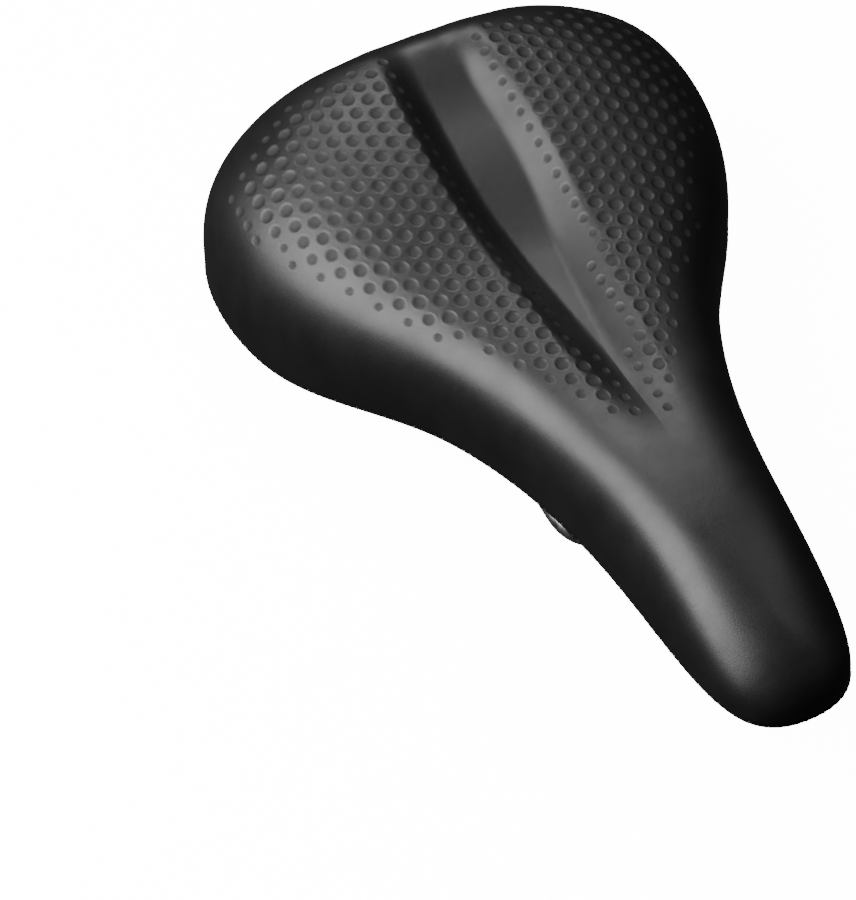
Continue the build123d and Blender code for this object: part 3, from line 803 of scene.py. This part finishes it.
def vinyl_paint():
    """Black synthetic leather: pebbled grain, creases and rubbed high spots."""
    p = Paint("vinyl_paint")
    pebbles = p.cells(1.1, "SMOOTH_F1")
    p.colour(p.ramp(p.noise(22, 4), (0.012, 0.012, 0.013), (0.022, 0.021, 0.021)))
    p.roughness(p.ramp(pebbles, 0.42, 0.6, 0.1, 0.6))
    p.bump(pebbles, 0.12, 0.8)
    p.bump(p.noise(7, 4), 0.12)
    return p.material


def thread_paint():
    """Waxed polyester thread."""
    p = Paint("thread_paint")
    p.colour(p.ramp(p.noise(2.5, 2), (0.16, 0.16, 0.16), (0.3, 0.29, 0.28)))
    twist = p.noise(0.25, 2, 0.5, p.stretched((1, 0.4, 1)))
    p.bump(twist, 0.04)
    return p.set(Roughness=0.55).material


def foam_paint():
    """Cut polyurethane foam with open pores, their hollows painted darker as painted shade."""
    p = Paint("foam_paint")
    pores = p.cells(0.7)
    # painted shade: darker where the pore hollows sink, lighter on the ridges between them
    p.colour(p.ramp(pores, (0.05, 0.05, 0.055), (0.11, 0.11, 0.115), 0.1, 0.6))
    p.bump(pores, 0.25)
    return p.set(Roughness=0.92).material


def moulded_paint(name, dark, light, rough, spark_mm):
    """Moulded plastic with a spark-eroded texture and slight gloss changes."""
    p = Paint(name)
    p.colour(p.ramp(p.noise(18, 4), dark, light))
    texture = p.noise(spark_mm, 3, 0.7)
    gloss = p.ramp(p.noise(9, 4), rough - 0.05, rough + 0.06)
    p.roughness(p.math("ADD", gloss, p.ramp(texture, -0.04, 0.04)))
    p.bump(texture, 0.05)
    p.bump(p.noise(14, 3), 0.08)
    return p.material


def steel_paint(name, dark, light, rough, grain_mm, stretch):
    """Bright steel with a drawn grain, stains and fine scratches."""
    p = Paint(name)
    grain = p.noise(grain_mm, 3, 0.6, p.stretched(stretch))
    p.colour(p.ramp(p.noise(9, 5), dark, light, 0.3, 0.7))
    gloss = p.ramp(p.noise(6, 5), rough - 0.06, rough + 0.1)
    p.roughness(p.math("ADD", gloss, p.ramp(grain, -0.05, 0.05)))
    p.bump(grain, 0.012)
    return p.set(Metallic=1.0).material


def repaint(material, *names):
    """Gives CAD nodes their finish."""
    for name in names:
        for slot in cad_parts[name].material_slots:
            slot.material = material


# --- the scene -----------------------------------------------------------------------------
def make_floor(low):
    """A wide pale floor under the lowest point; its glow reaches the camera only."""
    mesh = bpy.data.meshes.new("floor")
    corners = ((-1, -1), (1, -1), (1, 1), (-1, 1))
    verts = [(x * FLOOR_HALF, y * FLOOR_HALF, low) for x, y in corners]
    mesh.from_pydata(verts, [], [(0, 1, 2, 3)])
    floor = bpy.data.objects.new("floor", mesh)
    bpy.context.scene.collection.objects.link(floor)
    p = Paint("floor_paint")
    p.colour(p.ramp(p.noise(90, 3), (0.86, 0.86, 0.86), (0.9, 0.9, 0.9)))
    p.set(Roughness=0.95, Specular_IOR_Level=0.1)
    p.set(Emission_Color=(1, 1, 1, 1), Emission_Strength=FLOOR_GLOW)
    p.material.cycles.emission_sampling = "NONE"
    mesh.materials.append(p.material)
    floor.visible_glossy = floor.visible_diffuse = False


def area_light(name, azimuth, elevation, distance, size, power, target=(0, 0, 0.03)):
    """Soft box aimed at the saddle; azimuth is seen as the camera's is."""
    light = bpy.data.lights.new(name, "AREA")
    light.shape = "RECTANGLE"
    light.size, light.size_y = size
    light.energy = power
    obj = bpy.data.objects.new(name, light)
    bpy.context.scene.collection.objects.link(obj)
    back = direction(azimuth, elevation)
    obj.location = Vector(target) + back * distance
    obj.rotation_euler = back.to_track_quat("Z", "Y").to_euler()


def direction(azimuth, elevation):
    a, e = math.radians(azimuth), math.radians(elevation)
    return Vector((math.sin(a) * math.cos(e), -math.cos(a) * math.cos(e), math.sin(e)))


def make_world():
    world = bpy.data.worlds.new("studio")
    world.use_nodes = True
    background = world.node_tree.nodes["Background"]
    background.inputs["Color"].default_value = (1, 1, 1, 1)
    background.inputs["Strength"].default_value = WORLD_STRENGTH
    bpy.context.scene.world = world


def make_camera():
    """Camera at its viewing angle, with its roll."""
    back = direction(CAMERA_AZIMUTH, CAMERA_ELEVATION)
    right = Vector((0, 0, 1)).cross(back).normalized()
    turn = Matrix.Rotation(math.radians(CAMERA_ROLL), 3, back)
    right = turn @ right
    up = back.cross(right)
    data = bpy.data.cameras.new("camera")
    data.lens, data.sensor_width = CAMERA_LENS, CAMERA_SENSOR
    camera = bpy.data.objects.new("camera", data)
    bpy.context.scene.collection.objects.link(camera)
    camera.matrix_world = Matrix.Translation(
        Vector(CAMERA_TARGET) + back * CAMERA_DISTANCE
    ) @ Matrix((right, up, back)).transposed().to_4x4()
    bpy.context.scene.camera = camera


def make_cover():
    silicone = silicone_paint("silicone_paint", (0.0045, 0.0045, 0.0048), (0.007, 0.007, 0.0073))
    shell = cover_shell(silicone)
    belongs(shell, "cover", "silicone", "cover_top", "cover_lip", "cover_rim")
    for side, word in ((1, "right"), (-1, "left")):
        cells = air_cells(side, f"air_cells_web_{word}", silicone)
        belongs(cells, "cover", "silicone", f"air_cells_{word}")


def make_saddle():
    skin = upholstery(vinyl_paint())
    belongs(skin, "saddle", "vinyl", "skin_top_panel", "skin_side_right", "skin_side_left")
    belongs(stitches("seam_stitches", skin, thread_paint()), "saddle", "vinyl")
    repaint(foam_paint(), "foam_pad")
    repaint(
        moulded_paint("base_paint", (0.016, 0.016, 0.017), (0.024, 0.024, 0.025), 0.5, 0.5),
        "base_shell",
    )
    repaint(
        moulded_paint("cup_paint", (0.022, 0.022, 0.023), (0.032, 0.032, 0.033), 0.42, 0.35),
        "rail_cup_right", "rail_cup_left", "nose_block",
    )
    repaint(
        steel_paint("rail_paint", (0.55, 0.55, 0.56), (0.68, 0.68, 0.68), 0.26, 0.3, (1, 0.06, 1)),
        "rail_right", "rail_left",
    )
    repaint(
        steel_paint("zinc_paint", (0.5, 0.5, 0.49), (0.66, 0.65, 0.62), 0.34, 0.25, (1, 1, 0.5)),
        "cup_screws", "nose_screws", "plate_nuts_rear", "plate_nuts_nose",
    )
    repaint(
        steel_paint("wire_paint", (0.42, 0.42, 0.42), (0.6, 0.59, 0.57), 0.38, 0.2, (0.3, 1, 1)),
        "skin_staples",
    )


make_cover()
make_saddle()
make_floor(cad_low.z - 0.0005)
for light in LIGHTS:
    area_light(*light)
make_world()
make_camera()
